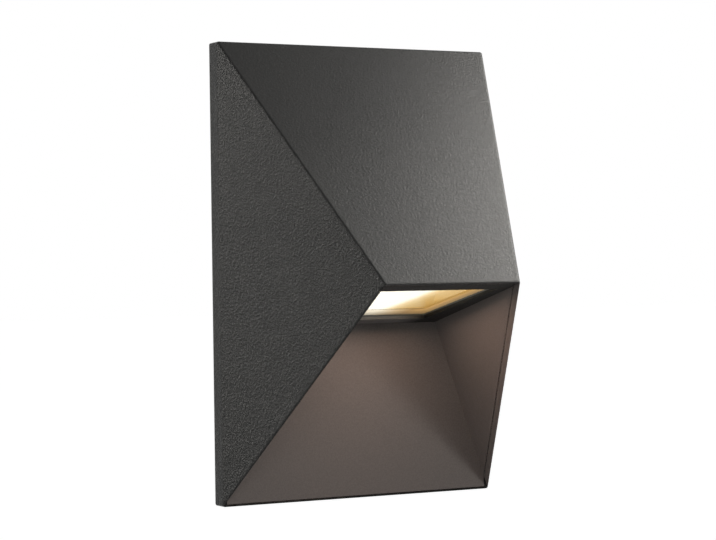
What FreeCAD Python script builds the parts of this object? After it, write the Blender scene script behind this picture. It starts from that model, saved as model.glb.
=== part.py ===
"""Faceted down-light for an outside wall, built as separate pieces in millimetres.

X runs along the wall, Y runs into the wall and Z runs up. The origin is on the wall
plane, at the middle of the light's width and height, so the light is on the side of
negative Y. Pieces above the glass window are drawn in the window's own frame: X as
before, U along the soffit from the ridge towards the wall, and N square to the soffit
and up into the housing.
"""
import FreeCAD, Part
import math
import os

Vector = FreeCAD.Vector
X_AXIS = Vector(1, 0, 0)
Y_AXIS = Vector(0, 1, 0)
Z_AXIS = Vector(0, 0, 1)

# ---------------------------------------------------------------- driving dimensions
# Outer form
WIDTH = 150.0
HEIGHT = 223.0
DEPTH = 100.0
RIM_DEPTH = 8.5
RIDGE_LENGTH = 72.5
RIDGE_DROP = 5.7
SOFFIT_TILT = 12.2
RECESS_HEAD_WIDTH = 89.6
CORNER_RADIUS = 1.2
EDGE_RADIUS = 0.8
FOOT_LIP = 1.0

# Housing shell and recess liner
SHELL_WALL = 2.0
LINER_WALL = 1.5
LINER_GAP = 0.2
LINER_FLANGE_HALF = 62.0
LINER_FLANGE_RISE = 16.0
LINER_SCREW_X = 56.0
LINER_SCREW_RISE = 10.5
LINER_SCREW_LENGTH = 12.0
LINER_BOSS_RADIUS = 3.6
LEDGE_WIDTH = 14.0
LEDGE_SPACING = 26.0
LEDGE_HEIGHT = 2.0
LEDGE_THICKNESS = 1.4
RIB_X = 41.0
RIB_WIDTH = 1.6
RIB_HEIGHT = 3.0
RIB_START = 24.0
RIB_END = 126.0

# Window in the soffit
WINDOW_SIDE_BORDER = 3.45
WINDOW_SETBACK = 14.3
WINDOW_BACK_BORDER = 10.0
WINDOW_RADIUS = 1.0
GASKET_THICKNESS = 0.8
GLASS_THICKNESS = 3.0
GLASS_MARGIN = 2.8
GLASS_RADIUS = 2.0
GLASS_CHAMFER = 0.3
SIDE_RIB_WIDTH = 1.0
SIDE_RIB_HEIGHT = 2.4
SIDE_RIB_START = 32.0
SIDE_RIB_END = 80.0

# Clamp frame over the glass
CLAMP_THICKNESS = 1.0
CLAMP_BOSS_RADIUS = 2.2
CLAMP_SCREW_X = 22.0
CLAMP_EDGE = 2.4
CLAMP_RELIEF = 0.5

# Reflector
REFLECTOR_WALL = 0.8
REFLECTOR_RISE = 22.6
REFLECTOR_CORNER = 8.0
REFLECTOR_THROAT = 26.0

# Light module
BOARD_WIDTH = 50.0
BOARD_LENGTH = 36.0
BOARD_THICKNESS = 1.6
BOARD_SCREW_X = 20.5
CHIP_SIZE = 3.0
CHIP_HEIGHT = 0.7
CHIP_PITCH = 5.5
CHIP_ROWS = 3
CONNECTOR_WIDTH = 6.4
CONNECTOR_LENGTH = 6.0
CONNECTOR_HEIGHT = 3.5
CONNECTOR_X = 21.2
CONNECTOR_INSET = 3.0
CARRIER_THICKNESS = 2.5
CARRIER_WIDTH = 58.0
CARRIER_BEND_RADIUS = 2.0
CARRIER_LEAF = 28.0
CARRIER_SCREW_X = 17.0
CARRIER_SCREW_BITE = 4.5
PAD_THICKNESS = 0.5
SEAT_THICKNESS = 4.0

# Base plate, wall side
PLATE_THICKNESS = 1.5
PLATE_SIDE_GAP = 0.7
PLATE_END_GAP = 2.5
PLATE_RADIUS = 3.0
FLANGE_HEIGHT = 3.4
FLANGE_LENGTH = 190.0
WALL_GASKET_THICKNESS = 1.5
WALL_GASKET_WIDTH = 9.0
SLOT_SIDE_INSET = 22.3
SLOT_END_INSET = 22.0
SLOT_LENGTH = 12.0
SLOT_WIDTH = 5.0
HOOK_X = 45.0
HOOK_WIDTH = 12.0
HOOK_RISE = 3.4
LUG_WIDTH = 10.0
LUG_THICKNESS = 2.6
HOOK_CLEARANCE = 0.3
TAB_WIDTH = 16.0
TAB_REACH = 3.8
TAB_SCREW_Y = 4.5
CABLE_HOLE = 20.0
GROMMET_LIP = 2.5
GROMMET_LIP_THICKNESS = 1.5
GROMMET_BORE = 9.0
GROMMET_NOSE = 4.0

# Driver
DRIVER_LENGTH = 90.0
DRIVER_WIDTH = 36.0
DRIVER_HEIGHT = 21.0
DRIVER_TOP_GAP = 31.0
DRIVER_CORNER = 3.0
DRIVER_EAR = 9.0
DRIVER_EAR_THICKNESS = 2.5
DRIVER_LID_GROOVE = 0.6

# Terminal block and earth point
TERMINAL_POLE = 9.6
TERMINAL_POLES = 3
TERMINAL_DEPTH = 17.0
TERMINAL_HEIGHT = 13.0
TERMINAL_X = -30.0
TERMINAL_Z = 2.0
TERMINAL_PORT = 3.6
TERMINAL_WELL = 4.6
TERMINAL_STEP = 3.0
TERMINAL_GROOVE = 1.2
TERMINAL_SLIT = 0.8
WIRE_HEIGHT = 5.0
EARTH_X = -8.0
WASHER_RADIUS = 4.6
WASHER_THICKNESS = 0.8

# Leads inside the housing
LEAD_RADIUS = 1.0
LEAD_BEND = 3.5
LEAD_TUCK = 3.0
LED_LEAD_RADIUS = 0.8
LED_LEAD_SPACING = 2.6
LED_LEAD_BEND = 4.0
LED_LEAD_TUCK = 2.5

# Screws: thread radius, head radius and head height
M25 = (1.25, 2.25, 1.4)
M3 = (1.5, 2.75, 1.9)
M4 = (2.0, 3.6, 2.4)
CLEARANCE_HOLE = 0.2
TAPPED_PLAY = 0.04
SCREW_RECESS = 0.45
SCREW_TIP = 1.0
END_STOP = 0.5

# ---------------------------------------------------------------- places worked out
RIDGE_Z = -RIDGE_DROP
TILT = math.radians(SOFFIT_TILT)
FACET_RISE = HEIGHT / 2 - RIDGE_Z
FACET_RUN = DEPTH - RIM_DEPTH
WEDGE = math.atan2(FACET_RISE, FACET_RUN) + TILT
INNER_HALF_WIDTH = WIDTH / 2 - SHELL_WALL
INNER_HALF_HEIGHT = HEIGHT / 2 - SHELL_WALL
PANEL_BACK = -RIM_DEPTH + LINER_WALL
SOFFIT_BACK_Z = RIDGE_Z - FACET_RUN * math.tan(TILT)

WINDOW_WIDTH = RIDGE_LENGTH - 2 * WINDOW_SIDE_BORDER
WINDOW_LENGTH = FACET_RUN / math.cos(TILT) - WINDOW_SETBACK - WINDOW_BACK_BORDER
WINDOW_END = WINDOW_SETBACK + WINDOW_LENGTH
WINDOW_MIDDLE = WINDOW_SETBACK + WINDOW_LENGTH / 2
GLASS_BOTTOM = LINER_WALL + GASKET_THICKNESS
GLASS_TOP = GLASS_BOTTOM + GLASS_THICKNESS
CLAMP_BOTTOM = GLASS_TOP + REFLECTOR_WALL
CLAMP_TOP = CLAMP_BOTTOM + CLAMP_THICKNESS
CLAMP_SCREW_FRONT = WINDOW_SETBACK - GLASS_MARGIN - LINER_GAP - CLAMP_BOSS_RADIUS
CLAMP_SCREW_BACK = WINDOW_END + GLASS_MARGIN + LINER_GAP + CLAMP_BOSS_RADIUS
BOARD_BOTTOM = GLASS_TOP + REFLECTOR_RISE
BOARD_TOP = BOARD_BOTTOM + BOARD_THICKNESS
BOARD_FRONT = WINDOW_MIDDLE - BOARD_LENGTH / 2
BOARD_END = WINDOW_MIDDLE + BOARD_LENGTH / 2

PLATE_BACK = -WALL_GASKET_THICKNESS
PLATE_FRONT = PLATE_BACK - PLATE_THICKNESS
PLATE_HALF_WIDTH = INNER_HALF_WIDTH - PLATE_SIDE_GAP
PLATE_HALF_HEIGHT = INNER_HALF_HEIGHT - PLATE_END_GAP
SLOT_SPACING_X = 2 * (PLATE_HALF_WIDTH - SLOT_SIDE_INSET)
SLOT_SPACING_Z = 2 * (PLATE_HALF_HEIGHT - SLOT_END_INSET)
DRIVER_Z = PLATE_HALF_HEIGHT - DRIVER_TOP_GAP - DRIVER_WIDTH
DRIVER_EAR_X = DRIVER_LENGTH / 2 + DRIVER_EAR / 2
DRIVER_MIDDLE_Z = DRIVER_Z + DRIVER_WIDTH / 2
TERMINAL_TOP_Z = TERMINAL_Z + TERMINAL_DEPTH
WIRE_Y = PLATE_FRONT - WIRE_HEIGHT
EARTH_Z = (TERMINAL_TOP_Z + DRIVER_Z) / 2


# ---------------------------------------------------------------- helpers
def prism(points, sweep):
    """A straight solid on a polygon."""
    return Part.Face(Part.makePolygon(points + [points[0]])).extrude(sweep)


def block(x, y, z):
    """A box between three pairs of limits."""
    low = Vector(min(x), min(y), min(z))
    return Part.makeBox(abs(x[1] - x[0]), abs(y[1] - y[0]), abs(z[1] - z[0]), low)


def centred(middle, size):
    """The two limits of a length about its middle."""
    return (middle - size / 2, middle + size / 2)


def rod(radius, start, direction, length):
    """A round bar from a point along a direction."""
    return Part.makeCylinder(radius, length, start, direction)


def rounded_outline(x, y, radius, z):
    """A closed wire: a rectangle with round corners, at one height."""
    (x0, x1), (y0, y1) = x, y
    corners = [(x1, y1, 1, 1), (x0, y1, -1, 1), (x0, y0, -1, -1), (x1, y0, 1, -1)]
    edges = []
    last = None
    for number, (cx, cy, sx, sy) in enumerate(corners):
        centre = Vector(cx - sx * radius, cy - sy * radius, z)
        turn = number * math.pi / 2
        at = [centre + Vector(math.cos(a), math.sin(a), 0) * radius
              for a in (turn, turn + math.pi / 4, turn + math.pi / 2)]
        if last is not None:
            edges.append(Part.makeLine(last, at[0]))
        edges.append(Part.Arc(*at).toShape())
        last = at[2]
    edges.append(Part.makeLine(last, edges[0].Vertexes[0].Point))
    return Part.Wire(edges)


def rounded_pad(x, y, radius, z):
    """A plate with round corners, between two heights."""
    face = Part.Face(rounded_outline(x, y, radius, z[0]))
    return face.extrude(Vector(0, 0, z[1] - z[0]))


def turned(shape, base, direction):
    """A shape drawn about +Z, moved so that +Z points along a direction."""
    moved = shape.copy()
    place = FreeCAD.Placement(base, FreeCAD.Rotation(Z_AXIS, direction))
    moved.Placement = place.multiply(shape.Placement)
    return moved


def on_soffit(shape):
    """A shape drawn in the window's frame, put where the soffit is."""
    moved = shape.copy()
    turn = FreeCAD.Rotation(X_AXIS, -SOFFIT_TILT)
    place = FreeCAD.Placement(Vector(0, -DEPTH, RIDGE_Z), turn)
    moved.Placement = place.multiply(shape.Placement)
    return moved


def soffit_point(x, u, n):
    """A point of the window's frame in the light's own frame."""
    turn = FreeCAD.Rotation(X_AXIS, -SOFFIT_TILT)
    return Vector(0, -DEPTH, RIDGE_Z) + turn.multVec(Vector(x, u, n))


def facet_point(along, inward, x=0.0):
    """A point by its way up the top facet's inner face and its distance from it, in the
    window's frame."""
    u = SHELL_WALL / math.sin(WEDGE) + along * math.cos(WEDGE) + inward * math.sin(WEDGE)
    n = along * math.sin(WEDGE) - inward * math.cos(WEDGE)
    return Vector(x, u, n)


def union(shapes):
    whole = shapes[0]
    for extra in shapes[1:]:
        whole = whole.fuse(extra)
    return whole.removeSplitter()


def runs_along(edge, axis):
    """True for a straight edge in line with an axis."""
    way = edge.Vertexes[-1].Point - edge.Vertexes[0].Point
    return way.Length > 0 and way.cross(axis).Length < 1e-6 * way.Length


def screw(size, length, countersunk=False):
    """A screw about +Z: its head is above the seat at zero and its shank below."""
    thread, head, rise = size
    shank = rod(thread - TAPPED_PLAY, Vector(0, 0, -length), Z_AXIS, length)
    if countersunk:
        top = Part.makeCone(thread - TAPPED_PLAY, head, rise, Vector(0, 0, -rise))
        seat = 0.0
    else:
        top = rod(head, Vector(0, 0, 0), Z_AXIS, rise)
        rim = [edge for edge in top.Edges if edge.Closed and edge.Vertexes[0].Z > rise / 2]
        top = top.makeChamfer(rise * SCREW_RECESS / 2, rim)
        seat = rise
    arm = head * SCREW_RECESS
    deep = rise * SCREW_RECESS * 1.4
    drive = [block((-arm, arm), (-arm / 4, arm / 4), (seat - deep, seat + deep)),
             block((-arm / 4, arm / 4), (-arm, arm), (seat - deep, seat + deep))]
    return shank.fuse(top).cut(drive[0].fuse(drive[1]))


def hexahedron(ring, other):
    """A flat-faced solid between two rings of four corners each."""
    faces = [ring[::-1], other]
    for here in range(4):
        there = (here + 1) % 4
        faces.append([ring[here], ring[there], other[there], other[here]])
    faces = [Part.Face(Part.makePolygon(corners + [corners[0]])) for corners in faces]
    solid = Part.Solid(Part.makeShell(faces))
    if solid.Volume < 0:
        solid.reverse()
    return solid


def rectangle(x, y, z):
    """The four corners of a rectangle at one height."""
    return [Vector(x[0], y[0], z), Vector(x[1], y[0], z),
            Vector(x[1], y[1], z), Vector(x[0], y[1], z)]


def tapped_hole(size, depth):
    """The hole that a screw's thread fills, about +Z from the seat down."""
    return rod(size[0], Vector(0, 0, -depth), Z_AXIS, depth)


def through_hole(size, depth):
    """A hole that a screw passes, about +Z from the seat down."""
    return rod(size[0] + CLEARANCE_HOLE, Vector(0, 0, -depth), Z_AXIS, depth)


def lead(points, radius, bend):
    """A wire along straight runs joined by tangent arcs."""
    pieces = []
    start = points[0]
    for before, corner, after in zip(points, points[1:], points[2:]):
        arriving = (corner - before).normalize()
        leaving = (after - corner).normalize()
        turn = arriving.getAngle(leaving)
        trim = bend * math.tan(turn / 2)
        first = corner - arriving * trim
        axis = arriving.cross(leaving).normalize()
        section = Part.Face(Part.Wire(Part.Circle(first, arriving, radius).toShape()))
        centre = first + axis.cross(arriving) * bend
        pieces.append(rod(radius, start, arriving, (first - start).Length))
        pieces.append(section.revolve(centre, axis, math.degrees(turn)))
        start = corner + leaving * trim
    way = points[-1] - start
    pieces.append(rod(radius, start, way, way.Length))
    return union(pieces)


# ---------------------------------------------------------------- the faceted form
def inset_line(start, end, inset):
    """A line in a plane, moved square to itself towards its left."""
    way = (end - start).normalize()
    left = Vector(-way.y, way.x, 0)
    return start + left * inset, way


def crossing(line, other):
    """Where two lines of one plane cross."""
    (p, d), (q, e) = line, other
    t = ((q.x - p.x) * e.y - (q.y - p.y) * e.x) / (d.x * e.y - d.y * e.x)
    return p + d * t


def faceted_body(inset):
    """The light's outer form with its rim, sides and top facet moved inwards. The plan
    gives the two side facets and the section gives the top facet and the open front."""
    rim_corner = Vector(WIDTH / 2, -RIM_DEPTH, 0)
    ridge_end = Vector(RIDGE_LENGTH / 2, -DEPTH, 0)
    facet = inset_line(ridge_end, rim_corner, inset)
    half = WIDTH / 2 - inset
    shoulder = crossing(facet, (Vector(half, 0, 0), Y_AXIS))
    nose = crossing(facet, (Vector(0, -DEPTH, 0), X_AXIS))
    right = [Vector(half, 0, 0), shoulder, nose]
    plan = right + [Vector(-p.x, p.y, 0) for p in reversed(right)]
    slab = prism([p + Z_AXIS * -HEIGHT for p in plan], Z_AXIS * 2 * HEIGHT)

    # In the section, x stands for Y and y stands for Z.
    rim_top = Vector(-RIM_DEPTH, HEIGHT / 2, 0)
    ridge = Vector(-DEPTH, RIDGE_Z, 0)
    rim_foot = Vector(-RIM_DEPTH, -HEIGHT / 2, 0)
    slope = inset_line(rim_top, ridge, inset)
    mouth = inset_line(ridge, rim_foot, 0)
    top = HEIGHT / 2 - inset
    brow = crossing(slope, (Vector(0, top, 0), X_AXIS))
    tip = crossing(slope, mouth)
    foot = crossing(mouth, (Vector(0, -top, 0), X_AXIS))
    section = [Vector(0, -top, 0), Vector(0, top, 0), brow, tip, foot]
    wide = prism([Vector(-WIDTH, p.x, p.y) for p in section], X_AXIS * 2 * WIDTH)
    return slab.common(wide)


def plane_through(p, q, r, side):
    """A plane's normal, turned to the given side, and its distance from the origin."""
    normal = (q - p).cross(r - p).normalize()
    if normal.dot(side) < 0:
        normal = -normal
    return normal, normal.dot(p)


def meeting_point(first, second, third):
    """The point that three planes share."""
    (a, da), (b, db), (c, dc) = first, second, third
    return (b.cross(c) * da + c.cross(a) * db + a.cross(b) * dc) * (1 / a.dot(b.cross(c)))


def recess_body(growth):
    """The hollow under the ridge, run out past the front and the bottom. Growth moves
    its soffit, back panel and cheeks outwards."""
    ridge_end = Vector(RIDGE_LENGTH / 2, -DEPTH, RIDGE_Z)
    head = Vector(RECESS_HEAD_WIDTH / 2, -RIM_DEPTH, SOFFIT_BACK_Z)
    foot = Vector(WIDTH / 2, -RIM_DEPTH, -HEIGHT / 2)
    soffit_normal = Vector(0, math.sin(TILT), math.cos(TILT))
    soffit = (soffit_normal, soffit_normal.dot(ridge_end) + growth)
    panel = (Y_AXIS, -RIM_DEPTH + growth)
    cheek_normal, reach = plane_through(ridge_end, head, foot, X_AXIS)
    cheek = (cheek_normal, reach + growth)
    front = (Y_AXIS, -DEPTH - RIM_DEPTH)
    bottom = (Z_AXIS, -HEIGHT / 2 - RIM_DEPTH)
    right = [meeting_point(soffit, cheek, front), meeting_point(soffit, cheek, panel),
             meeting_point(panel, cheek, bottom), meeting_point(bottom, cheek, front)]
    return hexahedron(right, [Vector(-p.x, p.y, p.z) for p in right])


def rounded_form():
    """The outer form with its rim corners and all its folds rounded."""
    form = faceted_body(0)
    corners = [edge for edge in form.Edges if runs_along(edge, Y_AXIS)]
    form = form.makeFillet(CORNER_RADIUS, corners)
    folds = []
    for edge in form.Edges:
        at_wall = all(abs(v.Y) < 1e-6 for v in edge.Vertexes)
        if not at_wall and not runs_along(edge, Y_AXIS):
            folds.append(edge)
    return form.makeFillet(EDGE_RADIUS, folds)


# ---------------------------------------------------------------- housing and liner
def facet_seat():
    """The thick pad inside the top facet that takes the light carrier's heat."""
    start, end = carrier_leaf_span()
    corners = [facet_point(start, -SHELL_WALL / 2), facet_point(end, -SHELL_WALL / 2),
               facet_point(end, SEAT_THICKNESS), facet_point(start, SEAT_THICKNESS)]
    half = CARRIER_WIDTH / 2
    return prism([p - X_AXIS * half for p in corners], X_AXIS * CARRIER_WIDTH)


def facet_rib(x):
    """A low stiffening rib up the inside of the top facet."""
    corners = [facet_point(RIB_START, -SHELL_WALL / 2), facet_point(RIB_END, -SHELL_WALL / 2),
               facet_point(RIB_END - RIB_HEIGHT, RIB_HEIGHT),
               facet_point(RIB_START + RIB_HEIGHT, RIB_HEIGHT)]
    return prism([p + X_AXIS * (x - RIB_WIDTH / 2) for p in corners], X_AXIS * RIB_WIDTH)


def liner_screw_place(side):
    return Vector(side * LINER_SCREW_X, PANEL_BACK, SOFFIT_BACK_Z + LINER_SCREW_RISE)


def hook_lug(side):
    """A lug under the top of the rim that drops behind the base plate's hook."""
    back = PLATE_FRONT - HOOK_CLEARANCE
    x = centred(side * HOOK_X, LUG_WIDTH)
    foot = hook_leg_top() + HOOK_CLEARANCE
    return block(x, (back, back - LUG_THICKNESS), (foot, HEIGHT / 2 - SHELL_WALL / 2))


def ledge(number):
    """A ledge on the rim's floor, behind the liner's lower edge."""
    x = centred(number * LEDGE_SPACING, LEDGE_WIDTH)
    front = PANEL_BACK + LINER_GAP
    return block(x, (front, front + LEDGE_THICKNESS),
                 (-INNER_HALF_HEIGHT - SHELL_WALL / 2, -INNER_HALF_HEIGHT + LEDGE_HEIGHT))


def liner_room(gap):
    """The space that the liner may fill: inside the walls, and over the lip at the foot."""
    half = INNER_HALF_WIDTH - gap
    over_lip = block((-half, half), (-RIM_DEPTH, PANEL_BACK + LINER_GAP - gap),
                     (-HEIGHT / 2 + FOOT_LIP + gap, -INNER_HALF_HEIGHT + LINER_WALL))
    return faceted_body(SHELL_WALL + gap).fuse(over_lip)


def housing_shell():
    """The cast cover: rim, two side facets and top facet, open below the ridge and at
    the back, with the bosses, lugs and pads that its inside carries."""
    form = rounded_form()
    shell = form.cut(liner_room(0))
    inside = faceted_body(SHELL_WALL / 2)
    extras = [on_soffit(facet_seat())]
    extras += [on_soffit(facet_rib(side * RIB_X)) for side in (-1, 1)]
    extras += [hook_lug(side) for side in (-1, 1)]
    extras += [ledge(number) for number in (-1, 0, 1)]
    holes = []
    for side in (-1, 1):
        seat = liner_screw_place(side) - Y_AXIS * LINER_WALL
        extras.append(rod(LINER_BOSS_RADIUS, seat, -Y_AXIS, DEPTH))
        holes.append(turned(tapped_hole(M3, LINER_SCREW_LENGTH + END_STOP), seat, Y_AXIS))
        holes.append(turned(tapped_hole(M4, CARRIER_SCREW_BITE + END_STOP),
                            carrier_screw_seat(side) - carrier_screw_way() * pad_stack(),
                            carrier_screw_way()))
        holes.append(housing_screw_hole(side))
    shell = union([shell] + [extra.common(inside) for extra in extras])
    return shell.cut(recess_body(0)).cut(Part.makeCompound(holes))


def housing_screw_place(side):
    return Vector(side * HOOK_X, -TAB_SCREW_Y, -HEIGHT / 2)


def housing_screw_hole(side):
    thread, head, rise = M3
    place = housing_screw_place(side)
    funnel = Part.makeCone(head + CLEARANCE_HOLE, thread + CLEARANCE_HOLE, rise, place, Z_AXIS)
    return funnel.fuse(rod(thread + CLEARANCE_HOLE, place, Z_AXIS, SHELL_WALL * 2))


def recess_liner():
    """The smooth insert that lines the recess: soffit with the window opening, back
    panel, two cheeks, and the flange, bosses and ribs behind them."""
    skin = recess_body(LINER_WALL).cut(recess_body(0))
    skin = skin.common(liner_room(LINER_GAP))
    flange = block((-LINER_FLANGE_HALF, LINER_FLANGE_HALF), (-RIM_DEPTH, PANEL_BACK),
                   (SOFFIT_BACK_Z - LINER_WALL, SOFFIT_BACK_Z + LINER_FLANGE_RISE))
    flange = flange.cut(recess_body(0))
    bosses = []
    holes = [on_soffit(rounded_pad(*window_limits(0), WINDOW_RADIUS,
                                   (-LINER_WALL, 2 * LINER_WALL)))]
    for x, u in clamp_screw_spots():
        foot = Vector(x, u, LINER_WALL / 2)
        bosses.append(on_soffit(rod(CLAMP_BOSS_RADIUS, foot, Z_AXIS,
                                    CLAMP_BOTTOM - LINER_WALL / 2)))
        pilot = rod(M25[0], Vector(x, u, LINER_WALL + END_STOP), Z_AXIS, CLAMP_BOTTOM)
        holes.append(on_soffit(pilot))
    for side in (-1, 1):
        inner = WINDOW_WIDTH / 2 + GLASS_MARGIN + LINER_GAP
        rib = block((side * inner, side * (inner + SIDE_RIB_WIDTH)),
                    (SIDE_RIB_START, SIDE_RIB_END),
                    (LINER_WALL / 2, LINER_WALL + SIDE_RIB_HEIGHT))
        bosses.append(on_soffit(rib))
        holes.append(turned(through_hole(M3, 2 * LINER_WALL), liner_screw_place(side), Y_AXIS))
    return union([skin, flange] + bosses).cut(Part.makeCompound(holes))


def liner_screws():
    screws = []
    for side in (-1, 1):
        screws.append(turned(screw(M3, LINER_SCREW_LENGTH), liner_screw_place(side), Y_AXIS))
    return screws


# ---------------------------------------------------------------- window
def window_limits(margin):
    """The window's width and length limits, grown by a margin."""
    half = WINDOW_WIDTH / 2 + margin
    return (-half, half), (WINDOW_SETBACK - margin, WINDOW_END + margin)


def clamp_screw_spots():
    return [(x, u) for x in (-CLAMP_SCREW_X, CLAMP_SCREW_X)
            for u in (CLAMP_SCREW_FRONT, CLAMP_SCREW_BACK)]


def window_gasket():
    """A flat soft ring between the liner and the glass."""
    heights = (LINER_WALL, GLASS_BOTTOM)
    ring = rounded_pad(*window_limits(GLASS_MARGIN), GLASS_RADIUS, heights)
    return [on_soffit(ring.cut(rounded_pad(*window_limits(0), WINDOW_RADIUS, heights)))]


def window_glass():
    """A flat pane with ground edges."""
    pane = rounded_pad(*window_limits(GLASS_MARGIN), GLASS_RADIUS, (GLASS_BOTTOM, GLASS_TOP))
    rims = []
    for edge in pane.Edges:
        if abs(edge.Vertexes[0].Z - edge.Vertexes[-1].Z) < 1e-6:
            rims.append(edge)
    return [on_soffit(pane.makeChamfer(GLASS_CHAMFER, rims))]


def glass_clamp():
    """A sheet frame that presses the reflector's flange and the glass on the gasket."""
    half = WINDOW_WIDTH / 2 + GLASS_MARGIN
    ends = (CLAMP_SCREW_FRONT - CLAMP_EDGE, CLAMP_SCREW_BACK + CLAMP_EDGE)
    heights = (CLAMP_BOTTOM, CLAMP_TOP)
    frame = rounded_pad((-half, half), ends, GLASS_RADIUS, heights)
    frame = frame.cut(rounded_pad(*window_limits(REFLECTOR_WALL + CLAMP_RELIEF),
                                  GLASS_RADIUS, heights))
    for x, u in clamp_screw_spots():
        hole = through_hole(M25, 2 * CLAMP_THICKNESS)
        frame = frame.cut(turned(hole, Vector(x, u, CLAMP_TOP), Z_AXIS))
    return [on_soffit(frame)]


def clamp_screws():
    length = CLAMP_TOP - LINER_WALL - 2 * END_STOP
    return [on_soffit(turned(screw(M25, length), Vector(x, u, CLAMP_TOP), Z_AXIS))
            for x, u in clamp_screw_spots()]


# ---------------------------------------------------------------- light module
def reflector_core(margin):
    """The reflector's cavity, or its outside with the wall as margin: as large as the
    window below and as the chips' field above, with rounded corners."""
    half = REFLECTOR_THROAT / 2 + margin
    mouth = rectangle(*window_limits(margin), GLASS_TOP)
    throat = rectangle((-half, half), centred(WINDOW_MIDDLE, 2 * half), BOARD_BOTTOM)
    core = hexahedron(mouth, throat)
    slants = [edge for edge in core.Edges
              if not runs_along(edge, X_AXIS) and not runs_along(edge, Y_AXIS)]
    return core.makeFillet(REFLECTOR_CORNER + margin, slants)


def reflector():
    """A thin bright funnel with a flange that lies on the glass."""
    flange = rounded_pad(*window_limits(GLASS_MARGIN - LINER_GAP), GLASS_RADIUS,
                         (GLASS_TOP, CLAMP_BOTTOM))
    body = flange.fuse(reflector_core(REFLECTOR_WALL))
    return [on_soffit(body.cut(reflector_core(0)))]


def led_board():
    """The metal-core board, with its screw holes."""
    board = rounded_pad(centred(0, BOARD_WIDTH), (BOARD_FRONT, BOARD_END), GLASS_RADIUS,
                        (BOARD_BOTTOM, BOARD_TOP))
    for side in (-1, 1):
        hole = through_hole(M3, 2 * BOARD_THICKNESS)
        place = Vector(side * BOARD_SCREW_X, WINDOW_MIDDLE, BOARD_TOP)
        board = board.cut(turned(hole, place, Z_AXIS))
    return [on_soffit(board)]


def led_chips():
    """A square field of light chips under the board."""
    chips = []
    first = -(CHIP_ROWS - 1) / 2
    for column in range(CHIP_ROWS):
        for row in range(CHIP_ROWS):
            x = centred((first + column) * CHIP_PITCH, CHIP_SIZE)
            u = centred(WINDOW_MIDDLE + (first + row) * CHIP_PITCH, CHIP_SIZE)
            chips.append(on_soffit(block(x, u, (BOARD_BOTTOM - CHIP_HEIGHT, BOARD_BOTTOM))))
    return chips


def connector_middle():
    return BOARD_END - CONNECTOR_INSET - CONNECTOR_LENGTH / 2


def led_connector():
    """The two-pole plug block under the board's back edge."""
    u = centred(connector_middle(), CONNECTOR_LENGTH)
    body = block(centred(CONNECTOR_X, CONNECTOR_WIDTH), u,
                 (BOARD_BOTTOM - CONNECTOR_HEIGHT, BOARD_BOTTOM))
    for port in led_lead_ends():
        body = body.cut(rod(LED_LEAD_RADIUS + CLEARANCE_HOLE, port - Y_AXIS * LEAD_TUCK, Y_AXIS,
                            CONNECTOR_LENGTH))
    return [on_soffit(body)]


def led_lead_ends():
    """The two wire ports of the connector, in the window's frame."""
    back = connector_middle() + CONNECTOR_LENGTH / 2
    height = BOARD_BOTTOM - CONNECTOR_HEIGHT / 2
    return [Vector(CONNECTOR_X + side * LED_LEAD_SPACING / 2, back, height)
            for side in (-1, 1)]


def led_board_screws():
    way = Vector(0, 0, -1)
    return [on_soffit(turned(screw(M3, BOARD_THICKNESS + CARRIER_THICKNESS - END_STOP),
                             Vector(side * BOARD_SCREW_X, WINDOW_MIDDLE, BOARD_BOTTOM), way))
            for side in (-1, 1)]


def pad_stack():
    """From the top facet's inner face to the near side of the carrier's leaf."""
    return PAD_THICKNESS + CARRIER_THICKNESS


def carrier_leaf_span():
    """Where the carrier's leaf starts and ends on the way up the top facet."""
    offset = SEAT_THICKNESS + PAD_THICKNESS + CARRIER_THICKNESS
    start = (BOARD_TOP + CARRIER_THICKNESS + offset * math.cos(WEDGE)) / math.sin(WEDGE)
    start += CARRIER_BEND_RADIUS
    return start, start + CARRIER_LEAF


def carrier_screw_way():
    """Away from the top facet, square to it."""
    turn = FreeCAD.Rotation(X_AXIS, -SOFFIT_TILT)
    return turn.multVec(Vector(0, math.sin(WEDGE), -math.cos(WEDGE)))


def carrier_screw_seat(side):
    start, end = carrier_leaf_span()
    inward = SEAT_THICKNESS + pad_stack()
    spot = facet_point((start + end) / 2, inward, side * CARRIER_SCREW_X)
    return soffit_point(spot.x, spot.y, spot.z)


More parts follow.
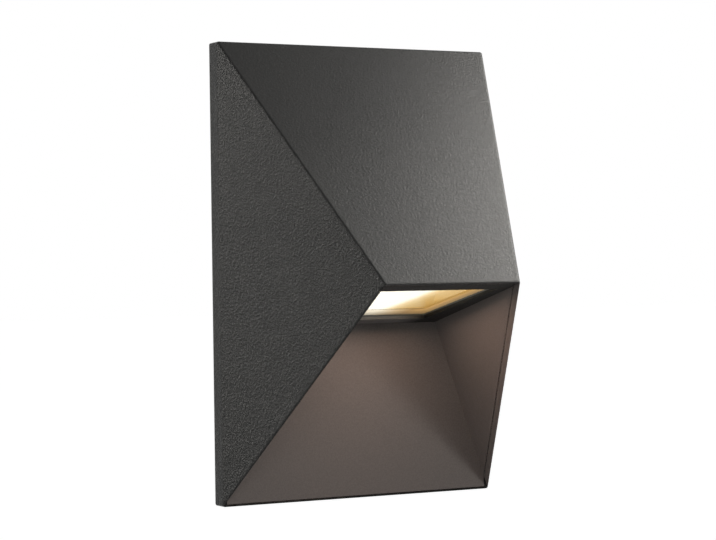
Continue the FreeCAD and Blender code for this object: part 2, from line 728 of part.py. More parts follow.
def led_carrier():
    """A bent strip: one leaf holds the board, the other lies on the top facet's pad."""
    end = carrier_leaf_span()[1]
    near = SEAT_THICKNESS + PAD_THICKNESS
    far = near + CARRIER_THICKNESS
    low_near = (BOARD_TOP + near * math.cos(WEDGE)) / math.sin(WEDGE)
    low_far = (BOARD_TOP + CARRIER_THICKNESS + far * math.cos(WEDGE)) / math.sin(WEDGE)
    corners = [facet_point(low_near, near), Vector(0, BOARD_END, BOARD_TOP),
               Vector(0, BOARD_END, BOARD_TOP + CARRIER_THICKNESS), facet_point(low_far, far),
               facet_point(end, far), facet_point(end, near)]
    strip = prism([p - X_AXIS * CARRIER_WIDTH / 2 for p in corners], X_AXIS * CARRIER_WIDTH)
    for corner, radius in ((corners[0], CARRIER_BEND_RADIUS + CARRIER_THICKNESS),
                           (corners[3], CARRIER_BEND_RADIUS)):
        bend = [edge for edge in strip.Edges if runs_along(edge, X_AXIS)
                and abs(edge.Vertexes[0].Y - corner.y) < 1e-6
                and abs(edge.Vertexes[0].Z - corner.z) < 1e-6]
        strip = strip.makeFillet(radius, bend)
    strip = on_soffit(strip)
    for side in (-1, 1):
        strip = strip.cut(turned(through_hole(M4, 2 * CARRIER_THICKNESS),
                                 carrier_screw_seat(side), carrier_screw_way()))
        hole = rod(M3[0], Vector(side * BOARD_SCREW_X, WINDOW_MIDDLE, BOARD_TOP), Z_AXIS,
                   CARRIER_THICKNESS)
        strip = strip.cut(on_soffit(hole))
    return [strip]


def thermal_pad():
    """The soft pad between the carrier's leaf and the housing."""
    start, end = carrier_leaf_span()
    corners = [facet_point(start, SEAT_THICKNESS), facet_point(end, SEAT_THICKNESS),
               facet_point(end, SEAT_THICKNESS + PAD_THICKNESS),
               facet_point(start, SEAT_THICKNESS + PAD_THICKNESS)]
    half = CARRIER_WIDTH / 2
    pad = on_soffit(prism([p - X_AXIS * half for p in corners], X_AXIS * CARRIER_WIDTH))
    for side in (-1, 1):
        pad = pad.cut(turned(through_hole(M4, 3 * CARRIER_THICKNESS),
                             carrier_screw_seat(side), carrier_screw_way()))
    return [pad]


def carrier_screws():
    return [turned(screw(M4, pad_stack() + CARRIER_SCREW_BITE), carrier_screw_seat(side),
                   carrier_screw_way()) for side in (-1, 1)]


# ---------------------------------------------------------------- wall side
def hook_leg_top():
    """The upper face of the base plate's hooks where they leave the plate."""
    return PLATE_HALF_HEIGHT - HOOK_RISE


def hook(side):
    """A hook bent forward and up from the base plate's top edge."""
    x = centred(side * HOOK_X, HOOK_WIDTH)
    back = PLATE_FRONT - 2 * HOOK_CLEARANCE - LUG_THICKNESS
    front = back - PLATE_THICKNESS
    leg = block(x, (PLATE_BACK, front), (hook_leg_top() - PLATE_THICKNESS, hook_leg_top()))
    finger = block(x, (back, front), (hook_leg_top() - PLATE_THICKNESS, PLATE_HALF_HEIGHT))
    return leg.fuse(finger)


def plate_tab(side):
    """A tab bent forward from the base plate's foot for a housing screw."""
    x = centred(side * HOOK_X, TAB_WIDTH)
    return block(x, (PLATE_BACK, PLATE_FRONT - TAB_REACH),
                 (-PLATE_HALF_HEIGHT, -PLATE_HALF_HEIGHT + PLATE_THICKNESS))


def plate_outline(inset, y):
    """The base plate's outline as a pad between two distances from the wall."""
    pad = rounded_pad(centred(0, 2 * (PLATE_HALF_WIDTH - inset)),
                      centred(0, 2 * (PLATE_HALF_HEIGHT - inset)),
                      PLATE_RADIUS, (0, abs(y[1] - y[0])))
    pad.Placement = FreeCAD.Placement(Vector(0, max(y), 0), FreeCAD.Rotation(X_AXIS, 90))
    return pad


def slot_places():
    return [(x * SLOT_SPACING_X / 2, z * SLOT_SPACING_Z / 2) for x in (-1, 1) for z in (-1, 1)]


def slot(x, z):
    """A wall-screw slot through the base plate, long in X."""
    run = (SLOT_LENGTH - SLOT_WIDTH) / 2
    ends = [rod(SLOT_WIDTH / 2, Vector(x + way * run, 0, z), -Y_AXIS, -2 * PLATE_FRONT)
            for way in (-1, 1)]
    middle = block(centred(x, 2 * run), (0, 2 * PLATE_FRONT), centred(z, SLOT_WIDTH))
    return middle.fuse(ends[0]).fuse(ends[1])


def driver_screw_seat(side):
    return Vector(side * DRIVER_EAR_X, PLATE_FRONT - DRIVER_EAR_THICKNESS, DRIVER_MIDDLE_Z)


def terminal_screw_seat():
    middle = TERMINAL_Z + TERMINAL_DEPTH / 2
    return Vector(TERMINAL_X + TERMINAL_POLE / 2, PLATE_FRONT - TERMINAL_HEIGHT, middle)


def earth_seat():
    return Vector(EARTH_X, PLATE_FRONT - WASHER_THICKNESS, EARTH_Z)


def base_plate():
    """The pressed plate on the wall, with side flanges, hooks, tabs, slots and holes."""
    plate = plate_outline(0, (PLATE_BACK, PLATE_FRONT))
    parts = [plate]
    for side in (-1, 1):
        x = (side * PLATE_HALF_WIDTH, side * (PLATE_HALF_WIDTH - PLATE_THICKNESS))
        parts.append(block(x, (PLATE_BACK, PLATE_FRONT - FLANGE_HEIGHT),
                           centred(0, FLANGE_LENGTH)))
        parts.append(hook(side))
        parts.append(plate_tab(side))
    plate = union(parts)
    for side in (-1, 1):
        # The plate is open in front of each lug, so that the lug can swing in.
        gap = block(centred(side * HOOK_X, HOOK_WIDTH + 2 * HOOK_CLEARANCE),
                    (0, PLATE_FRONT), (hook_leg_top(), HEIGHT / 2))
        plate = plate.cut(gap)
    cuts = [slot(x, z) for x, z in slot_places()]
    cuts.append(rod(CABLE_HOLE / 2, Vector(0, 0, 0), -Y_AXIS, -2 * PLATE_FRONT))
    for side in (-1, 1):
        spot = driver_screw_seat(side)
        cuts.append(rod(M3[0], Vector(spot.x, 0, spot.z), -Y_AXIS, -2 * PLATE_FRONT))
        spot = housing_screw_place(side)
        cuts.append(rod(M3[0], spot, Z_AXIS, HEIGHT / 8))
    for spot, size in ((terminal_screw_seat(), M3), (earth_seat(), M4)):
        cuts.append(rod(size[0], Vector(spot.x, 0, spot.z), -Y_AXIS, -2 * PLATE_FRONT))
    return [plate.cut(Part.makeCompound(cuts))]


def wall_gasket():
    """A foam ring between the base plate and the wall."""
    ring = plate_outline(0, (0, PLATE_BACK))
    return [ring.cut(plate_outline(WALL_GASKET_WIDTH, (0, PLATE_BACK)))]


def housing_screws():
    """The two flush screws in the rim's underside."""
    length = PLATE_END_GAP + SHELL_WALL + PLATE_THICKNESS + 2 * SCREW_TIP
    return [turned(screw(M3, length, True), housing_screw_place(side), -Z_AXIS)
            for side in (-1, 1)]


def cable_grommet():
    """A rubber bush in the base plate's cable hole, turned about the hole's axis."""
    bore = GROMMET_BORE / 2
    neck = CABLE_HOLE / 2
    lip = neck + GROMMET_LIP
    front = -PLATE_FRONT + GROMMET_LIP_THICKNESS
    nose = front + GROMMET_NOSE
    profile = [(bore, 0), (lip, 0), (lip, -PLATE_BACK), (neck, -PLATE_BACK),
               (neck, -PLATE_FRONT), (lip, -PLATE_FRONT), (lip, front), (neck, front),
               (bore + GROMMET_LIP_THICKNESS, nose), (bore, nose)]
    points = [Vector(radius, -out, 0) for radius, out in profile]
    face = Part.Face(Part.makePolygon(points + [points[0]]))
    return [face.revolve(Vector(0, 0, 0), Y_AXIS, 360)]


# ---------------------------------------------------------------- driver and wiring
def led_driver():
    """A sealed driver case with two screw ears and a lid line round its front."""
    front = PLATE_FRONT - DRIVER_HEIGHT
    case = block(centred(0, DRIVER_LENGTH), (PLATE_FRONT, front),
                 (DRIVER_Z, DRIVER_Z + DRIVER_WIDTH))
    corners = [edge for edge in case.Edges if runs_along(edge, Y_AXIS)]
    case = case.makeFillet(DRIVER_CORNER, corners)
    line = front + DRIVER_HEIGHT / 4
    band = block(centred(0, 2 * DRIVER_LENGTH), (line, line + DRIVER_LID_GROOVE),
                 (0, 2 * DRIVER_Z + DRIVER_WIDTH))
    core = block(centred(0, DRIVER_LENGTH - 2 * DRIVER_LID_GROOVE),
                 (line, line + DRIVER_LID_GROOVE),
                 (DRIVER_Z + DRIVER_LID_GROOVE, DRIVER_Z + DRIVER_WIDTH - DRIVER_LID_GROOVE))
    case = case.cut(band.cut(core))
    ears = rounded_pad(centred(0, DRIVER_LENGTH + 2 * DRIVER_EAR), centred(0, 2 * DRIVER_EAR),
                       DRIVER_EAR / 2, (0, DRIVER_EAR_THICKNESS))
    ears.Placement = FreeCAD.Placement(Vector(0, PLATE_FRONT, DRIVER_MIDDLE_Z),
                                       FreeCAD.Rotation(X_AXIS, 90))
    case = union([case, ears])
    for side in (-1, 1):
        case = case.cut(turned(through_hole(M3, 2 * DRIVER_EAR_THICKNESS),
                               driver_screw_seat(side), -Y_AXIS))
    return [case]


def driver_screws():
    length = DRIVER_EAR_THICKNESS + PLATE_THICKNESS + SCREW_TIP
    return [turned(screw(M3, length), driver_screw_seat(side), -Y_AXIS) for side in (-1, 1)]


def pole_places():
    first = TERMINAL_X - TERMINAL_POLE * (TERMINAL_POLES - 1) / 2
    return [first + number * TERMINAL_POLE for number in range(TERMINAL_POLES)]


def well_places():
    """The clamping screws of the terminal block, two to a pole."""
    inset = TERMINAL_DEPTH / 4
    return [(x, z) for x in pole_places()
            for z in (TERMINAL_Z + inset, TERMINAL_TOP_Z - inset)]


def terminal_block():
    """A three-pole block: stepped body, wire ports, screw wells and a fixing hole."""
    length = TERMINAL_POLE * TERMINAL_POLES
    front = PLATE_FRONT - TERMINAL_HEIGHT
    body = block(centred(TERMINAL_X, length), (PLATE_FRONT, front),
                 (TERMINAL_Z, TERMINAL_TOP_Z))
    for z in ((TERMINAL_Z, TERMINAL_Z + TERMINAL_STEP / 2),
              (TERMINAL_TOP_Z - TERMINAL_STEP / 2, TERMINAL_TOP_Z)):
        body = body.cut(block(centred(TERMINAL_X, 2 * length),
                              (front, front + TERMINAL_STEP), z))
    for x in pole_places()[1:]:
        groove = block(centred(x - TERMINAL_POLE / 2, TERMINAL_GROOVE),
                       (front, front + TERMINAL_STEP), (0, 2 * TERMINAL_TOP_Z))
        body = body.cut(groove)
    for x in pole_places():
        body = body.cut(rod(TERMINAL_PORT / 2, Vector(x, WIRE_Y, TERMINAL_Z), Z_AXIS,
                            TERMINAL_DEPTH))
    for x, z in well_places():
        well = rod(TERMINAL_WELL / 2, Vector(x, front, z), Y_AXIS, TERMINAL_HEIGHT / 2)
        body = body.cut(well)
    spot = terminal_screw_seat()
    body = body.cut(turned(through_hole(M3, 2 * TERMINAL_HEIGHT), spot, -Y_AXIS))
    return [body]


def terminal_screws():
    """The small clamping screws down in their wells."""
    floor = PLATE_FRONT - TERMINAL_HEIGHT / 2
    radius = TERMINAL_WELL / 2 - CLEARANCE_HOLE
    screws = []
    for x, z in well_places():
        head = rod(radius, Vector(0, 0, 0), Z_AXIS, TERMINAL_STEP)
        groove = block((-radius, radius), centred(0, TERMINAL_SLIT),
                       (TERMINAL_STEP - TERMINAL_SLIT, TERMINAL_STEP))
        screws.append(turned(head.cut(groove), Vector(x, floor, z), -Y_AXIS))
    return screws


def terminal_fixing_screw():
    length = TERMINAL_HEIGHT + PLATE_THICKNESS + SCREW_TIP
    return [turned(screw(M3, length), terminal_screw_seat(), -Y_AXIS)]


def earth_washer():
    ring = rod(WASHER_RADIUS, Vector(EARTH_X, PLATE_FRONT, EARTH_Z), -Y_AXIS, WASHER_THICKNESS)
    hole = rod(M4[0] + CLEARANCE_HOLE, Vector(EARTH_X, 0, EARTH_Z), -Y_AXIS, -4 * PLATE_FRONT)
    return [ring.cut(hole)]


def earth_screw():
    length = WASHER_THICKNESS + PLATE_THICKNESS + SCREW_TIP
    return [turned(screw(M4, length), earth_seat(), -Y_AXIS)]


def mains_leads():
    """Two leads from the terminal block straight up to the driver's underside."""
    foot = TERMINAL_TOP_Z - LEAD_TUCK
    return [rod(LEAD_RADIUS, Vector(x, WIRE_Y, foot), Z_AXIS, DRIVER_Z - foot)
            for x in pole_places()[:2]]


def earth_lead():
    """The lead from the last pole to the earth screw's washer."""
    x = pole_places()[-1]
    points = [Vector(x, WIRE_Y, TERMINAL_TOP_Z - LEAD_TUCK),
              Vector(x, WIRE_Y, (TERMINAL_TOP_Z + EARTH_Z) / 2),
              Vector(EARTH_X - WASHER_RADIUS, PLATE_FRONT - LEAD_RADIUS - CLEARANCE_HOLE, EARTH_Z)]
    return [lead(points, LEAD_RADIUS, LEAD_BEND)]


def led_leads():
    """Two leads from the driver's underside to the light board's connector."""
    leads = []
    y = PLATE_FRONT - DRIVER_HEIGHT / 2
    for port in led_lead_ends():
        start = soffit_point(port.x, port.y - LED_LEAD_TUCK, port.z)
        fall = (y - start.y) * math.tan(TILT)
        points = [start, Vector(port.x, y, start.z - fall), Vector(port.x, y, DRIVER_Z)]
        leads.append(lead(points, LED_LEAD_RADIUS, LED_LEAD_BEND))
    return leads


# ---------------------------------------------------------------- write the pieces
PIECES = {
    "housing_shell": lambda: [housing_shell()],
    "recess_liner": lambda: [recess_liner()],
    "liner_screws": liner_screws,
    "window_gasket": window_gasket,
    "window_glass": window_glass,
    "glass_clamp": glass_clamp,
    "clamp_screws": clamp_screws,
    "reflector": reflector,
    "led_board": led_board,
    "led_chips": led_chips,
    "led_connector": led_connector,
    "led_board_screws": led_board_screws,
    "led_carrier": led_carrier,
    "thermal_pad": thermal_pad,
    "carrier_screws": carrier_screws,
    "base_plate": base_plate,
    "wall_gasket": wall_gasket,
    "housing_screws": housing_screws,
    "cable_grommet": cable_grommet,
    "led_driver": led_driver,
    "driver_screws": driver_screws,
    "terminal_block": terminal_block,
    "terminal_screws": terminal_screws,
    "terminal_fixing_screw": terminal_fixing_screw,
    "earth_washer": earth_washer,
    "earth_screw": earth_screw,
    "mains_leads": mains_leads,
    "earth_lead": earth_lead,
    "led_leads": led_leads,
}

os.makedirs("parts", exist_ok=True)
for name, make in PIECES.items():
    solids = make()
    whole = solids[0] if len(solids) == 1 else Part.makeCompound(solids)
    print(name, len(whole.Solids), whole.isValid(), round(whole.Volume, 1))
    whole.exportStep("parts/" + name + ".step")
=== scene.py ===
"""Looks, lights and camera for the faceted wall light. Lengths are in metres."""
import math
import bpy
from mathutils import Matrix, Vector

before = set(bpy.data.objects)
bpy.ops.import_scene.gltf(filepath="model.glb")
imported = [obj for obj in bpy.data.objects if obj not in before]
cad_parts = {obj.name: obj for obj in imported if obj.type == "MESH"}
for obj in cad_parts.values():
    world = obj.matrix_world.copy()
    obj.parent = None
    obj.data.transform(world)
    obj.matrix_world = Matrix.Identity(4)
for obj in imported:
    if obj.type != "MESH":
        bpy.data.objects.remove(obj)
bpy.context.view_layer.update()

# ---------------------------------------------------------------- camera
CAMERA_PLACE = Vector((-0.537651, -0.970221, 0.003319))
CAMERA_YAW = -0.5103326
CAMERA_PITCH = -0.0020070
CAMERA_ROLL = -0.0136858
FOCAL_PIXELS = 2226.594
PHOTO_WIDTH = 716
SENSOR_WIDTH = 36.0
NEAREST = 0.01

# ---------------------------------------------------------------- studio
FLOOR_Z = -0.75
FLOOR_SIZE = 60.0
ROOM_LEVEL = 0.04
FLOOR_GLOW = 0.98
FLOOR_COLOUR = (0.60, 0.60, 0.60)
WHITE = (1.0, 1.0, 1.0)
STUDIO_COLOUR = (1.0, 0.974, 0.925)
LIT_POINT = (0.0, -0.05, 0.0)
# Each lamp: place, width, height and power in watts.
SIDE_LIGHT = ((-0.93, 0.51, 0.29), 0.30, 0.66, 12.6)
TOP_LIGHT = ((0.79, -0.21, 0.76), 0.42, 0.42, 13.6)
FRONT_LIGHT = ((0.58, -1.18, 0.27), 0.32, 0.32, 6.2)
LEFT_LIGHT = ((-0.83, -1.04, 0.11), 0.60, 0.60, 4.8)
BACK_LIGHT = ((0.50, 1.20, 0.40), 0.80, 0.80, 2.5)
LAMP_LIGHT = ((0.0, -0.052, -0.019), 0.060, 0.060, 0.064)

# ---------------------------------------------------------------- window, from the CAD
WINDOW_NORMAL = (0.0, 0.2113, 0.9774)
CHEEK_NORMAL = (0.9434, 0.0166, -0.3312)
SIDE_NORMAL = (0.921, -0.390, 0.0)
RIM_FRONT = -0.0086
SOFFIT_LEVEL = -0.02685
WINDOW_BACK = -0.0185
WINDOW_HALF = 0.0328
GLASS_SPAN = (-0.0244, -0.0214)
GLASS_MIDDLE = -0.0229
# Painted glow falloff, by place, on the reflector and on the glass's edges.
GLOW_SLOPE = 3.5
GLOW_SPAN = (-0.110, -0.084)
REVEAL_FADE = 0.6
CUT_FACING = 0.985
PANE_FACING = 0.9
INNER_FACING = -0.05
SIDE_FACING = (0.6, 0.95)

# ---------------------------------------------------------------- finishes
SHEEN = 0.14
# a less glossy copy of the coating round the rim, which paints shade there
RIM_SHADE_SHEEN = 0.06
# specular level of the painted shade on the soffit
SOFFIT_SHADE_SHEEN = 0.1
SAND_GRAIN = 900.0
SAND_DEPTH = 0.00062
SAND_SHARE = (0.18, 1.0)
SAND_EDGE = 0.0014
SATIN_EDGE = 0.00015
GLASS_IOR = 1.5
# strength of the painted glow on the reflector and on the glass's edges
PAINTED_GLOW_LEVEL = 1.6
CHIP_LEVEL = 8.0

# ---------------------------------------------------------------- colours, linear
COATING = (0.0070, 0.0070, 0.0066)
LINER = (0.088, 0.080, 0.078)
# painted shade: the soffit's very dark colour stands in for the shade under the hood
SOFFIT_SHADE_COLOUR = (0.006, 0.0055, 0.005)
LAMP_COLOUR = (1.0, 0.63, 0.47)

# Painted glow colours: emission that stands in for the chips' light on the reflector and on
# the glass's ground edges.
PAINTED_FUNNEL_GLOW = [(0.0, (0.34, 0.17, 0.02)), (0.23, (0.44, 0.23, 0.035)),
               (0.54, (0.52, 0.32, 0.10)), (0.77, (0.72, 0.53, 0.27)),
               (1.0, (1.0, 0.97, 0.90))]
PAINTED_EDGE_GLOW = [(0.0, (0.55, 0.33, 0.12)), (0.25, (0.40, 0.24, 0.09)),
             (0.55, (0.65, 0.47, 0.26)), (1.0, (1.0, 0.90, 0.72))]


# ---------------------------------------------------------------- node helpers
class Graph:
    """A material's node tree, with short calls for the nodes used here."""

    def __init__(self, name):
        self.material = bpy.data.materials.new(name)
        self.material.use_nodes = True
        self.tree = self.material.node_tree
        self.tree.nodes.clear()
        self.output = self.tree.nodes.new("ShaderNodeOutputMaterial")

    def node(self, kind, **inputs):
        made = self.tree.nodes.new("ShaderNode" + kind)
        for key, value in inputs.items():
            self.put(made.inputs[key.replace("_", " ")], value)
        return made

    def put(self, socket, value):
        if isinstance(value, bpy.types.NodeSocket):
            self.tree.links.new(value, socket)
        elif isinstance(value, tuple) and socket.type == "RGBA":
            socket.default_value = (*value, 1.0)
        else:
            socket.default_value = value

    def place(self):
        return self.node("TexCoord").outputs["Object"]

    def noise(self, scale, detail, roughness=0.5, vector=None):
        made = self.node("TexNoise", Scale=scale, Detail=detail, Roughness=roughness)
        self.put(made.inputs["Vector"], vector or self.place())
        return made.outputs["Fac"]

    def ramp(self, value, stops):
        made = self.node("ValToRGB", Fac=value)
        elements = made.color_ramp.elements
        while len(elements) < len(stops):
            elements.new(0.5)
        for element, (position, colour) in zip(elements, stops):
            element.position = position
            element.color = (*colour, 1.0)
        return made.outputs["Color"]

    def spread(self, value, low, high, to_low, to_high):
        made = self.node("MapRange", Value=value)
        for key, number in (("From Min", low), ("From Max", high),
                            ("To Min", to_low), ("To Max", to_high)):
            made.inputs[key].default_value = number
        return made.outputs["Result"]

    def math(self, operation, first, second=0.0):
        made = self.tree.nodes.new("ShaderNodeMath")
        made.operation = operation
        self.put(made.inputs[0], first)
        self.put(made.inputs[1], second)
        return made.outputs[0]

    def bump(self, height, distance, strength, normal=None):
        made = self.node("Bump", Height=height, Distance=distance, Strength=strength)
        if normal is not None:
            self.put(made.inputs["Normal"], normal)
        return made.outputs["Normal"]

    def soft_edge(self, radius):
        made = self.node("Bevel", Radius=radius)
        made.samples = 6
        return made.outputs["Normal"]

    def heading(self, vector, way):
        """How far a vector reaches along a fixed way."""
        made = self.node("VectorMath", Vector=vector)
        made.operation = "DOT_PRODUCT"
        made.inputs[1].default_value = way
        return made.outputs["Value"]

    def facing(self, way, fold=False):
        """How squarely the surface looks along a way, with left and right folded into one
        if asked."""
        normal = self.node("NewGeometry").outputs["True Normal"]
        if fold:
            parts = self.node("SeparateXYZ", Vector=normal)
            normal = self.node("CombineXYZ", X=self.math("ABSOLUTE", parts.outputs["X"]),
                               Y=parts.outputs["Y"], Z=parts.outputs["Z"]).outputs[0]
        return self.heading(normal, way)

    def blend(self, amount, first, second):
        made = self.node("MixShader")
        self.put(made.inputs[0], amount)
        self.put(made.inputs[1], first.outputs[0])
        self.put(made.inputs[2], second.outputs[0])
        return made

    def principled(self, **inputs):
        return self.node("BsdfPrincipled", **inputs)

    def finish(self, shader):
        self.tree.links.new(shader.outputs[0], self.output.inputs["Surface"])
        return self.material


def tinted(colour, factor):
    return tuple(part * factor for part in colour)


# ---------------------------------------------------------------- materials
def sand_shader(g, sheen):
    """A dark powder coating with a sand texture, coarser on the two side facets."""
    grains = g.noise(SAND_GRAIN, 4.0, 0.62)
    cloud = g.noise(18.0, 2.0)
    tone = g.math("ADD", g.math("MULTIPLY", grains, 0.8), g.math("MULTIPLY", cloud, 0.2))
    base = g.ramp(tone, [(0.38, tinted(COATING, 0.40)), (0.50, COATING),
                         (0.64, tinted(COATING, 2.6))])
    rough = g.spread(grains, 0.35, 0.65, 0.36, 0.24)
    coarse = g.spread(g.facing(SIDE_NORMAL, True), *SIDE_FACING, *SAND_SHARE)
    normal = g.bump(grains, SAND_DEPTH, coarse, g.soft_edge(SAND_EDGE))
    return g.principled(Base_Color=base, Roughness=rough, Normal=normal,
                        Specular_IOR_Level=sheen)


def satin_shader(g):
    """A smooth satin coating with faint orange peel."""
    fine = g.noise(1500.0, 3.0)
    peel = g.noise(260.0, 2.0)
    base = g.ramp(fine, [(0.3, tinted(LINER, 0.88)), (0.7, tinted(LINER, 1.12))])
    rough = g.spread(peel, 0.3, 0.7, 0.42, 0.50)
    rounded = g.soft_edge(SATIN_EDGE)
    normal = g.bump(peel, 0.00003, 0.5, g.bump(fine, 0.00002, 0.5, rounded))
    return g.principled(Base_Color=base, Roughness=rough, Normal=normal,
                        Specular_IOR_Level=SHEEN)


def liner_coating(name):
    """The recess's satin coating, with painted shade on the soffit round the window, a matt
    very dark colour that fades out along the window's back edge."""
    g = Graph(name)
    grain = g.noise(1500.0, 2.0)
    # painted shade on the soffit under the hood
    painted_shade = g.principled(Base_Color=SOFFIT_SHADE_COLOUR, Roughness=g.spread(grain, 0.3, 0.7, 0.55, 0.70),
                         Specular_IOR_Level=SOFFIT_SHADE_SHEEN, Normal=g.bump(grain, 0.00003, 0.5))
    above = g.math("GREATER_THAN", g.heading(g.place(), WINDOW_NORMAL), SOFFIT_LEVEL)
    place = g.node("SeparateXYZ", Vector=g.place())
    ahead = g.math("LESS_THAN", place.outputs["Y"], WINDOW_BACK)
    aside = g.math("ABSOLUTE", place.outputs["X"])
    beside = g.spread(aside, REVEAL_FADE * WINDOW_HALF, WINDOW_HALF, 0.0, 1.0)
    # where the painted soffit shade goes: the soffit in front of and beside the window
    shade_mask = g.math("MULTIPLY", above, g.math("MAXIMUM", ahead, beside))
    return g.finish(g.blend(shade_mask, satin_shader(g), painted_shade))


def cover_coating(name):
    """The cover's sand coating, with painted shade round the rim from a less glossy copy,
    and the recess's satin coating on its cut inner edges."""
    g = Graph(name)
    towards = g.math("GREATER_THAN", g.facing(CHEEK_NORMAL, True), CUT_FACING)
    depth = g.node("SeparateXYZ", Vector=g.place()).outputs["Y"]
    ahead = g.math("LESS_THAN", depth, RIM_FRONT)
    facets = sand_shader(g, SHEEN)
    # the less glossy copy that paints shade on the rim
    rim = sand_shader(g, RIM_SHADE_SHEEN)
    outside = g.blend(ahead, rim, facets)
    cut = g.math("MULTIPLY", towards, ahead)
    return g.finish(g.blend(cut, outside, satin_shader(g)))


def plated_steel(name, colour=(0.56, 0.57, 0.58)):
    """Zinc-plated steel with drifting spangle and fine draw lines."""
    g = Graph(name)
    spangle = g.noise(170.0, 2.0)
    fine = g.noise(1900.0, 2.0)
    base = g.ramp(spangle, [(0.3, tinted(colour, 0.90)), (0.7, colour)])
    rough = g.spread(spangle, 0.3, 0.7, 0.28, 0.42)
    normal = g.bump(fine, 0.00001, 0.6)
    return g.finish(g.principled(Base_Color=base, Metallic=1.0, Roughness=rough,
                                 Normal=normal))


def rolled_aluminium(name):
    """Mill-finish sheet, with rolling lines along X."""
    g = Graph(name)
    stretched = g.node("Mapping", Vector=g.place())
    stretched.inputs["Scale"].default_value = (40.0, 1800.0, 1800.0)
    lines = g.noise(1.0, 3.0, vector=stretched.outputs["Vector"])
    base = g.ramp(lines, [(0.3, (0.62, 0.62, 0.64)), (0.7, (0.78, 0.78, 0.79))])
    rough = g.spread(lines, 0.3, 0.7, 0.26, 0.40)
    return g.finish(g.principled(Base_Color=base, Metallic=1.0, Roughness=rough,
                                 Normal=g.bump(lines, 0.00001, 0.5)))


def moulded(name, colour, roughness, grain=2200.0, depth=0.00001):
    """Moulded plastic or rubber with a fine spark-eroded grain."""
    g = Graph(name)
    fine = g.noise(grain, 2.0)
    drift = g.noise(60.0, 2.0)
    base = g.ramp(drift, [(0.3, tinted(colour, 0.92)), (0.7, tinted(colour, 1.06))])
    rough = g.spread(fine, 0.3, 0.7, roughness - 0.06, roughness + 0.06)
    return g.finish(g.principled(Base_Color=base, Roughness=rough,
                                 Normal=g.bump(fine, depth, 0.6)))


def painted_glow_reach(g):
    """The height square to the window, and how much painted glow, standing in for the chips'
    light,
    goes on a point: more near the middle and towards the throat."""
    level = g.heading(g.place(), WINDOW_NORMAL)
    aside = g.math("ABSOLUTE", g.node("SeparateXYZ", Vector=g.place()).outputs["X"])
    reach = g.math("SUBTRACT", g.math("MULTIPLY", level, GLOW_SLOPE), aside)
    return level, g.spread(reach, *GLOW_SPAN, 0.0, 1.0)


def pane_glass(name):
    """A clear pane with faint dust and a reflection that grows towards grazing angles.
    Its ground edges are matt, with the lamp's light on them painted as emission."""
    g = Graph(name)
    dust = g.noise(900.0, 4.0, 0.7)
    clear = g.node("BsdfTransparent", Color=(0.97, 0.98, 0.97))
    shine = g.node("BsdfGlossy", Color=WHITE,
                   Roughness=g.spread(dust, 0.4, 0.8, 0.02, 0.12))
    level, reach = painted_glow_reach(g)
    outer = g.math("LESS_THAN", level, GLASS_MIDDLE)
    mirror = g.math("MULTIPLY", g.node("Fresnel", IOR=GLASS_IOR).outputs[0], outer)
    pane = g.blend(mirror, clear, shine)
    rise = g.spread(level, *GLASS_SPAN, 0.05, 1.0)
    # painted glow on the glass's ground edges, standing in for the lamp's light on them
    ground = g.principled(Base_Color=(0.10, 0.08, 0.06), Roughness=0.6,
                          Emission_Color=g.ramp(reach, PAINTED_EDGE_GLOW),
                          Emission_Strength=g.math("MULTIPLY", rise, PAINTED_GLOW_LEVEL),
                          Normal=g.bump(dust, 0.00005, 0.5))
    flat = g.math("ABSOLUTE", g.facing(WINDOW_NORMAL))
    return g.finish(g.blend(g.math("GREATER_THAN", flat, PANE_FACING), ground, pane))


def painted_glow_reflector(name):
    """Bright hammered metal with the chips' light on it painted as emission, hottest at its
    middle and towards the throat."""
    g = Graph(name)
    hammer = g.noise(420.0, 2.0)
    # painted glow: emission by place that stands in for the chips' light
    glow = g.ramp(painted_glow_reach(g)[1], PAINTED_FUNNEL_GLOW)
    inside = g.math("LESS_THAN", g.facing(WINDOW_NORMAL), INNER_FACING)
    return g.finish(g.principled(Base_Color=(0.40, 0.36, 0.28), Metallic=0.8, Roughness=0.5,
                                 Normal=g.bump(hammer, 0.0001, 0.4), Emission_Color=glow,
                                 Emission_Strength=g.math("MULTIPLY", inside, PAINTED_GLOW_LEVEL)))


def light_chip(name):
    """A phosphor lens, lit."""
    g = Graph(name)
    cells = g.noise(1500.0, 2.0)
    glow = g.ramp(cells, [(0.3, (1.0, 0.80, 0.50)), (0.7, (1.0, 0.92, 0.72))])
    return g.finish(g.principled(Base_Color=(0.9, 0.7, 0.2), Roughness=0.3,
                                 Emission_Color=glow, Emission_Strength=CHIP_LEVEL))


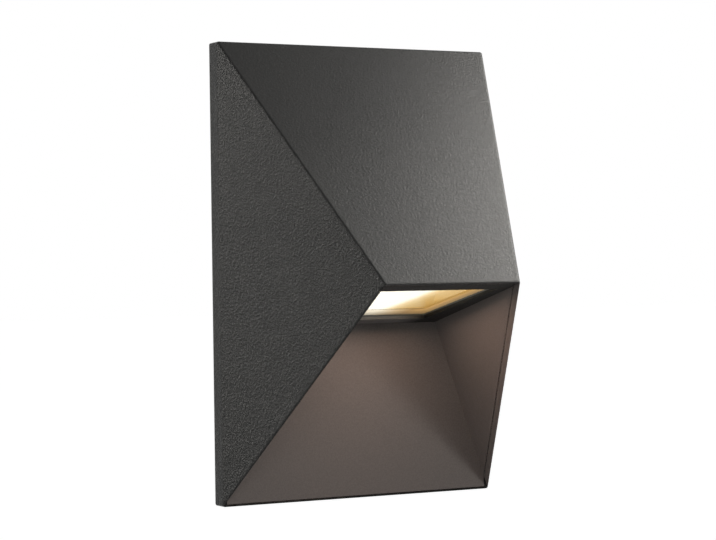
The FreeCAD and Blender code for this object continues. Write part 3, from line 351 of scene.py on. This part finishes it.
def dress():
    """Gives every CAD node its material."""
    screw = plated_steel("zinc_screw", (0.66, 0.66, 0.65))
    sheet = plated_steel("zinc_sheet")
    rubber = moulded("seal_rubber", (0.016, 0.016, 0.016), 0.62, 1500.0)
    white = moulded("white_plastic", (0.70, 0.70, 0.66), 0.40)
    finishes = {
        "housing_shell": cover_coating("housing_paint"),
        "recess_liner": liner_coating("liner_paint"),
        "window_glass": pane_glass("clear_glass"),
        "window_gasket": rubber,
        "wall_gasket": moulded("foam_rubber", (0.022, 0.022, 0.022), 0.80, 900.0, 0.0001),
        "cable_grommet": rubber,
        "glass_clamp": sheet,
        "base_plate": sheet,
        "earth_washer": sheet,
        "reflector": painted_glow_reflector("bright_reflector"),
        "led_board": moulded("white_board", (0.80, 0.80, 0.77), 0.35),
        "led_chips": light_chip("light_chip"),
        "led_connector": white,
        "terminal_block": white,
        "led_carrier": rolled_aluminium("bare_aluminium"),
        "thermal_pad": moulded("grey_silicone", (0.20, 0.22, 0.25), 0.70),
        "led_driver": moulded("driver_plastic", (0.55, 0.55, 0.53), 0.50),
        "mains_leads": moulded("lead_sheath", (0.12, 0.05, 0.02), 0.35),
        "earth_lead": moulded("earth_sheath", (0.06, 0.22, 0.04), 0.35),
        "led_leads": moulded("led_lead_sheath", (0.36, 0.02, 0.02), 0.35),
    }
    for name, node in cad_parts.items():
        material = finishes.get(name, screw)
        node.data.materials.clear()
        node.data.materials.append(material)


# ---------------------------------------------------------------- stage
def seen_directly(tree):
    """1 for the camera's rays and for those that metal, coatings and glass send on."""
    path = tree.nodes.new("ShaderNodeLightPath")
    seen = path.outputs["Is Camera Ray"]
    for kind in ("Is Glossy Ray", "Is Transmission Ray"):
        either = tree.nodes.new("ShaderNodeMath")
        either.operation = "MAXIMUM"
        tree.links.new(seen, either.inputs[0])
        tree.links.new(path.outputs[kind], either.inputs[1])
        seen = either.outputs[0]
    return seen


def make_world():
    """A dim room that looks white wherever it is seen directly."""
    world = bpy.data.worlds.new("studio")
    bpy.context.scene.world = world
    world.use_nodes = True
    tree = world.node_tree
    tree.nodes.clear()
    output = tree.nodes.new("ShaderNodeOutputWorld")
    room = tree.nodes.new("ShaderNodeBackground")
    room.inputs["Color"].default_value = (*WHITE, 1.0)
    room.inputs["Strength"].default_value = ROOM_LEVEL
    white = tree.nodes.new("ShaderNodeBackground")
    white.inputs["Color"].default_value = (*WHITE, 1.0)
    white.inputs["Strength"].default_value = 1.0
    seen = seen_directly(tree)
    blend = tree.nodes.new("ShaderNodeMixShader")
    tree.links.new(seen, blend.inputs[0])
    tree.links.new(room.outputs[0], blend.inputs[1])
    tree.links.new(white.outputs[0], blend.inputs[2])
    tree.links.new(blend.outputs[0], output.inputs["Surface"])


def make_floor():
    """A pale floor that looks white wherever it is seen directly."""
    half = FLOOR_SIZE / 2
    mesh = bpy.data.meshes.new("floor")
    corners = [(-half, -half), (half, -half), (half, half), (-half, half)]
    mesh.from_pydata([(x, y, FLOOR_Z) for x, y in corners], [], [(0, 1, 2, 3)])
    floor = bpy.data.objects.new("floor", mesh)
    bpy.context.scene.collection.objects.link(floor)
    g = Graph("floor_paint")
    plain = g.node("BsdfDiffuse", Color=FLOOR_COLOUR)
    glow = g.node("Emission", Color=WHITE, Strength=FLOOR_GLOW)
    both = g.node("AddShader")
    g.put(both.inputs[0], plain.outputs[0])
    g.put(both.inputs[1], glow.outputs[0])
    mesh.materials.append(g.finish(g.blend(seen_directly(g.tree), plain, both)))


def softbox(name, setting, target, colour=STUDIO_COLOUR):
    place, width, height, power = setting
    light = bpy.data.lights.new(name, "AREA")
    light.shape = "RECTANGLE"
    light.size = width
    light.size_y = height
    light.energy = power
    light.color = colour
    lamp = bpy.data.objects.new(name, light)
    bpy.context.scene.collection.objects.link(lamp)
    lamp.location = place
    way = Vector(target) - Vector(place)
    lamp.rotation_euler = way.to_track_quat("-Z", "Y").to_euler()


def make_lights():
    """Softboxes all round, and the lamp's own light under its window."""
    for name, setting in (("side_light", SIDE_LIGHT), ("top_light", TOP_LIGHT),
                          ("front_light", FRONT_LIGHT), ("left_light", LEFT_LIGHT),
                          ("back_light", BACK_LIGHT)):
        softbox(name, setting, LIT_POINT)
    place = Vector(LAMP_LIGHT[0])
    softbox("lamp_light", LAMP_LIGHT, place - Vector(WINDOW_NORMAL), LAMP_COLOUR)


def make_camera():
    """The camera at the photo's viewing angle."""
    data = bpy.data.cameras.new("camera")
    data.sensor_fit = "HORIZONTAL"
    data.sensor_width = SENSOR_WIDTH
    data.lens = FOCAL_PIXELS / PHOTO_WIDTH * SENSOR_WIDTH
    data.clip_start = NEAREST
    camera = bpy.data.objects.new("camera", data)
    bpy.context.scene.collection.objects.link(camera)
    forward = Vector((-math.sin(CAMERA_YAW) * math.cos(CAMERA_PITCH),
                      math.cos(CAMERA_YAW) * math.cos(CAMERA_PITCH),
                      math.sin(CAMERA_PITCH)))
    level = Vector((math.cos(CAMERA_YAW), math.sin(CAMERA_YAW), 0.0))
    upward = level.cross(forward)
    across = math.cos(CAMERA_ROLL) * level + math.sin(CAMERA_ROLL) * upward
    above = -math.sin(CAMERA_ROLL) * level + math.cos(CAMERA_ROLL) * upward
    turn = Matrix((across, above, -forward)).transposed()
    camera.matrix_world = Matrix.Translation(CAMERA_PLACE) @ turn.to_4x4()
    bpy.context.scene.camera = camera


make_camera()
make_world()
make_floor()
make_lights()
dress()
bpy.context.scene.view_settings.view_transform = "Standard"
